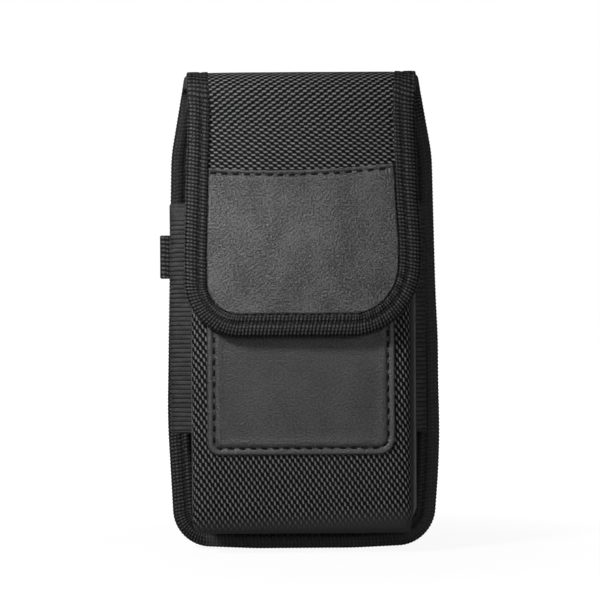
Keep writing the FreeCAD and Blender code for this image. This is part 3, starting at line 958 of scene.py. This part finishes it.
def flap_leather():
    """The patch on the flap, with its slack upper edge."""
    high = CLOTH_END - TAPE_COVER - 0.2
    t = spaced(0.0, 1.0, 0.004, 0.017, 0.05)
    w = spaced(0.0, 1.0, 0.005, 0.019, 0.06)
    edge = flap_patch_edge(t)
    q = edge + (high - edge) * w[:, None]
    l, r = side_reach(TAPE_COVER + 0.2)(np.minimum(q, high - 0.05))
    x = l + (r - l) * t
    from_top = q - edge
    inside = np.minimum.reduce([x - l, r - x, high - q, from_top])
    wave = np.cos(math.tau * x / STITCH_PITCH)
    height = LEATHER * edge_round(inside, 0.6)
    height -= 0.55 * bell(from_top, FLAP_SEAM, 0.6)
    height += (0.3 + 0.1 * wave) * bell(from_top, 3.4, 1.2)
    height += 0.3 * smoothstep(0.5, 16.0, inside)
    place = np.stack([x, q, np.zeros_like(x)], -1)
    height += ripple(place, 20.0, 5.0) * 0.3 * smoothstep(2.0, 12.0, inside)
    seat = LAMINATE / 2 + 0.1 + rise_at(x, q)
    outer = cloth_point(x, q, seat + height)
    inner = cloth_point(x, q, seat)
    uv = np.stack([x, q], -1)
    piece = shell("flap_leather_patch", outer[:, ::-1], inner[:, ::-1], uv[:, ::-1])
    spans = (r - l).mean(1)
    cut = (spans[1:] + spans[:-1]) / 2 @ np.diff(q.mean(1)) / 1e6
    finished(piece, [flap_leather_cloth], "leather", "flap_patch")


def patch_stitches(name, middles, ahead, slant):
    """Black stitches of a patch, slightly slanted."""
    piece = capsules(name, middles, unit(ahead + slant), [0.0, -1.0, 0.0], *PATCH_STITCH)
    finished(piece, [thread], "leather")


def leather_stitches():
    """Stitches round the pocket's patch and along the flap's."""
    half = POCKET_PATCH_HALF - PATCH_SEAM
    low = POCKET_PATCH_LOW + PATCH_SEAM
    high = POCKET_PATCH_HIGH - PATCH_SEAM
    corners = [(-half, high), (-half, low), (half, low), (half, high)]
    line = rounded_path([(x, STITCH_FRONT, z) for x, z in corners], [2.2, 3.8], STITCH_PITCH / 2)
    middles = line[1:-1:2]
    ahead = unit(line[2::2][: len(middles)] - line[:-2:2][: len(middles)])
    slant = np.cross(ahead, [0.0, -1.0, 0.0]) * 0.16
    middles = pocket_face(middles + [POCKET_LEAN, 0, 0])
    patch_stitches("pocket_patch_stitches", middles, ahead, slant)
    x = np.arange(-31.5, 32.5, STITCH_PITCH)
    q = flap_patch_edge((x + 33.3) / 66.6) + FLAP_SEAM
    middles = cloth_point(x, q, LAMINATE / 2 + 0.62 + rise_at(x, q))
    ahead = unit(np.gradient(middles, axis=0))
    patch_stitches("flap_patch_stitches", middles, ahead, [0, 0, 0.1])


# Bands


def band(name, path, facing, width_axis, span, thickness, ribs=None):
    """A flat band with rounded edges along a path, and its length."""
    width_axis = np.array(width_axis, float)
    out = unit(np.cross(unit(np.gradient(path, axis=0)), width_axis)) * facing
    across = spaced(*span, 0.25, 0.42, 1.0)
    along = run_lengths(path)
    to_edge = np.minimum(across - span[0], span[1] - across)
    half = thickness / 2 * (0.15 + 0.85 * edge_round(to_edge, 0.6))
    lift = half + (ribs(across, along) if ribs else 0.0)
    centre = path[:, None] + width_axis * across[:, None]
    outer = centre + out[:, None] * lift[..., None]
    inner = centre - out[:, None] * half[:, None]
    uv = np.stack(np.meshgrid(along, across, indexing="ij"), -1)
    piece = shell(name, outer, inner, uv)
    return piece, along[-1]


def elastic_ribs(across, along):
    """Fine cords across the elastic, with a plain hem at its upper edge."""
    phase = np.abs(((across / ELASTIC_RIB) % 1.0) - 0.5)
    line = -0.14 * smoothstep(0.3, 0.5, phase)
    hem = 0.12 * bell(across, ELASTIC_LOW + 0.8, 0.7)
    fade = 1 - smoothstep(ELASTIC_HIGH - 6.5, ELASTIC_HIGH - 5.5, across)
    return line * fade + hem + 0.05 * np.sin(along / 2.6)[:, None]


def side_elastic(which, side, reach, lean):
    """A wide elastic between the pocket and the panel."""
    slope = 1.9 / (POCKET_BACK - 0.05 - POCKET_FRONT + 0.1)
    start_x = POCKET_FRONT_HALF + slope * (ELASTIC_START - POCKET_FRONT) - POCKET_WALL - 0.65
    bulge = reach - ELASTIC / 2
    seat_x = ELASTIC_SEAT_HALF - ELASTIC / 2
    corners = [(start_x + lean, ELASTIC_START), (start_x + 0.4 + lean, -18.6), (bulge, -16.0)]
    corners += [(bulge, -9.4), (seat_x, -9.4), (seat_x, ELASTIC_SEAT), (seat_x - 5.0, ELASTIC_SEAT)]
    path = rounded_path([(x, y, 0) for x, y in corners], [1.2, 3.0, 3.0, 1.4, 1.4], 0.7)
    path[:, 0] *= side
    span = (ELASTIC_LOW, ELASTIC_HIGH)
    piece, length = band(f"elastic_side_{which}", path, side, (0, 0, 1), span, ELASTIC, elastic_ribs)
    finished(piece, [elastic], "elastic", f"side_elastic_{which}")


def side_tab():
    """Tape folded into a small loop at the left side."""
    corners = [(-41.25, -4.35, 0), (-51.75, -4.35, 0), (-51.75, -6.35, 0), (-41.25, -6.35, 0)]
    path = rounded_path(corners, [0.95, 0.95], 0.35)

    def relief(across, along):
        return 0.13 * np.cos(math.tau * across / 1.55)

    piece, length = band("side_tape_loop", path, -1, (0, 0, 1), SIDE_LOOP, 1.0, relief)
    finished(piece, [loop_tape_cloth], "elastic", "side_loop")


def belt_webbing():
    """Webbing sewn flat at both ends and standing off the back between them."""
    low, high = WEBBING_MIDDLE - WEBBING_REACH, WEBBING_MIDDLE + WEBBING_REACH
    seat, stand = WEBBING_SEAT, WEBBING_STAND
    corners = [(seat, low - WEBBING_SEWN), (seat, low), (stand, low)]
    corners += [(stand, high), (seat, high), (seat, high + WEBBING_SEWN)]
    path = rounded_path([(0, y, z) for y, z in corners], [2.4] * 4, 1.0)
    span = (-WEBBING_HALF, WEBBING_HALF)
    piece, length = band("belt_webbing_loop", path, -1, (1, 0, 0), span, WEBBING)
    finished(piece, [webbing], "webbing", "belt_loop")


def webbing_stitches():
    """Sewn boxes with diagonals at both ends of the webbing."""
    middles, ahead = [], []
    for way in (-1, 1):
        middle = [0.0, WEBBING_MIDDLE + way * (WEBBING_REACH + 6.6)]
        a, b, c, d = middle + np.array([(-1, -1), (1, -1), (1, 1), (-1, 1)]) * [22.5, 3.6]
        for start, end in ((a, b), (b, c), (c, d), (d, a), (a, c), (b, d)):
            run = end - start
            length = np.linalg.norm(run)
            count = max(2, round(length / 2.4))
            for part in (np.arange(count) + 0.5) / count:
                middles.append(start + run * part)
                ahead.append(run / length)
    middles = np.insert(middles, 1, 1.72, axis=1)
    ahead = np.insert(ahead, 1, 0.0, axis=1)
    piece = capsules("belt_webbing_stitches", middles, ahead, [0.0, 1.0, 0.0], 1.9, 0.28)
    finished(piece, [thread], "webbing")


# Closure


def closure(kind, place, material):
    """A pad with rounded edges and an uneven face."""
    half_width, low, high, y = place
    x = spaced(-half_width, half_width, 0.4, 1.2, 2.0)
    z = spaced(low, high, 0.4, 1.2, 2.0)
    gx, gz = np.meshgrid(x, z)
    inside = np.minimum.reduce([half_width - np.abs(gx), gz - low, high - gz])
    seat = np.stack([gx, y - crown_at(gx, gz), gz], -1)
    outer = seat.copy()
    outer[..., 1] -= PAD * edge_round(inside, 0.8) + 0.06 * ripple(seat, 1.4, 2.0)
    piece = shell(f"closure_{kind}_strip", outer, seat, np.stack([gx, gz], -1))
    finished(piece, [material], f"closure_{kind}", f"closure_{kind}_pad")


def mouth_tape():
    """Tape over the upper edge of the pocket's front."""
    half = MOUTH_TAPE_HALF
    x = np.linspace(-half, half, round(2 * half / TAPE_RIB) * RIB_STEPS)
    leg = [7.0, 6.9, 6.2, 5.4, 4.6, 4.2, 3.8, 3.0, 2.3]
    _, insets, sides = tape_section(leg, 9)
    ribs = 0.14 * np.cos(math.tau * x / TAPE_RIB)[:, None]
    groove = -0.35 * bell(insets, 4.2, 0.45) + 0.25 * bell(insets, 2.4, 1.0)
    out = (POCKET_WALL / 2 + TAPE_SEAT + TAPE + groove + ribs) * sides
    middle_y = POCKET_FRONT + POCKET_WALL / 2
    z = POCKET_MOUTH + 0.1 - insets
    points = np.stack(np.broadcast_arrays(x[:, None], middle_y - out, z), -1)
    inner = points.copy()
    inner[..., 1] = middle_y - np.clip(out, -1.25, 1.25) * 0.99
    inner[..., 2] -= np.where(insets < 2.0, 0.9, 0.0)
    uv = np.stack(np.meshgrid(insets, x), -1)
    piece = shell("pocket_mouth_tape", points[:, ::-1], inner[:, ::-1], uv[:, ::-1])
    finished(piece, [tape_cloth], "binding_tape", "pocket_mouth_binding")


rise_at = laminate_crown()
crown_at = pocket_crown()
laminate_piece()
binding()
binding_stitches()
pocket_body()
pocket_leather()
flap_leather()
leather_stitches()
side_elastic("left", -1, ELASTIC_REACH[0], -POCKET_LEAN)
side_elastic("right", 1, ELASTIC_REACH[1], POCKET_LEAN)
side_tab()
belt_webbing()
webbing_stitches()
closure("loop", LOOP_PAD, loop_fuzz)
closure("hook", HOOK_PAD, hook_face)
mouth_tape()


# Stage

scene.view_settings.view_transform = "Standard"


def shown_to_camera(tree, share, hidden, seen, output):
    """Joins two shaders, the second one for the camera alone."""
    blend = tree.nodes.new("ShaderNodeMixShader")
    for socket, value in zip(blend.inputs, (share, hidden, seen)):
        tree.links.new(value, socket)
    tree.links.new(blend.outputs[0], tree.nodes[output].inputs["Surface"])


def pale_floor():
    """A pale floor that shows white, but for the shadow near the object."""
    size = 3.0
    low = float(cad_low.z)
    corners = [(-size, -size, low), (size, -size, low), (size, size, low), (-size, size, low)]
    mesh = bpy.data.meshes.new("floor")
    mesh.from_pydata(corners, [], [(0, 1, 2, 3)])
    s = Surface("pale_floor", 1.0, 0.0)
    s.base.inputs["Base Color"].default_value = (0.5, 0.5, 0.5, 1)
    place = s.node("ShaderNodeTexCoord", "Object", {})
    distance = s.node("ShaderNodeVectorMath", "Value", {0: place}, operation="LENGTH")
    seen = s.node("ShaderNodeLightPath", "Is Camera Ray", {}) * s.ramp(distance, 0.12, 0.3, 0.8, 1.0)
    white = s.node("ShaderNodeEmission", 0, {"Strength": 1.15})
    shown_to_camera(s.tree, seen.socket, s.base.outputs[0], white.socket, "Material Output")
    mesh.materials.append(s.material)
    placed("floor", mesh)


def sky():
    """Soft light from all round, before a white ground."""
    world = bpy.data.worlds.new("studio")
    world.use_nodes = True
    tree = world.node_tree
    soft = tree.nodes["Background"]
    white = tree.nodes.new("ShaderNodeBackground")
    for shader, strength in ((soft, 0.08), (white, 1.0)):
        shader.inputs["Color"].default_value = (1, 1, 1, 1)
        shader.inputs["Strength"].default_value = strength
    path = tree.nodes.new("ShaderNodeLightPath")
    share = path.outputs["Is Camera Ray"]
    shown_to_camera(tree, share, soft.outputs[0], white.outputs[0], "World Output")
    scene.world = world


def lamp(name, place, target, size, power, spread=180.0):
    light = bpy.data.lights.new(name, "AREA")
    light.size = size
    light.energy = power
    light.spread = math.radians(spread)
    holder = placed(name, light)
    holder.location = place
    holder.rotation_euler = (Vector(target) - Vector(place)).to_track_quat("-Z", "Y").to_euler()


def camera():
    data = bpy.data.cameras.new("camera")
    data.sensor_width = 36.0
    data.lens = 129.7
    data.clip_start = 0.05
    data.clip_end = 20.0
    holder = placed("camera", data)
    holder.location = (-0.0009, -0.803, -0.0264)
    holder.rotation_euler = (math.radians(90), math.radians(0.36), 0)
    scene.camera = holder


pale_floor()
sky()
lamp("key", (-0.26, -0.28, 0.2), (-0.03, 0, -0.01), 0.1, 0.34, 69.0)
lamp("fill", (0.1, -0.9, 0.12), (0, 0, -0.03), 0.16, 0.9)
lamp("side", (0.45, -0.5, 0.05), (0.03, 0, -0.04), 0.3, 0.07, 60.0)
lamp("rear", (0.0, 0.9, 0.1), (0, 0, -0.03), 0.6, 3.0)
camera()
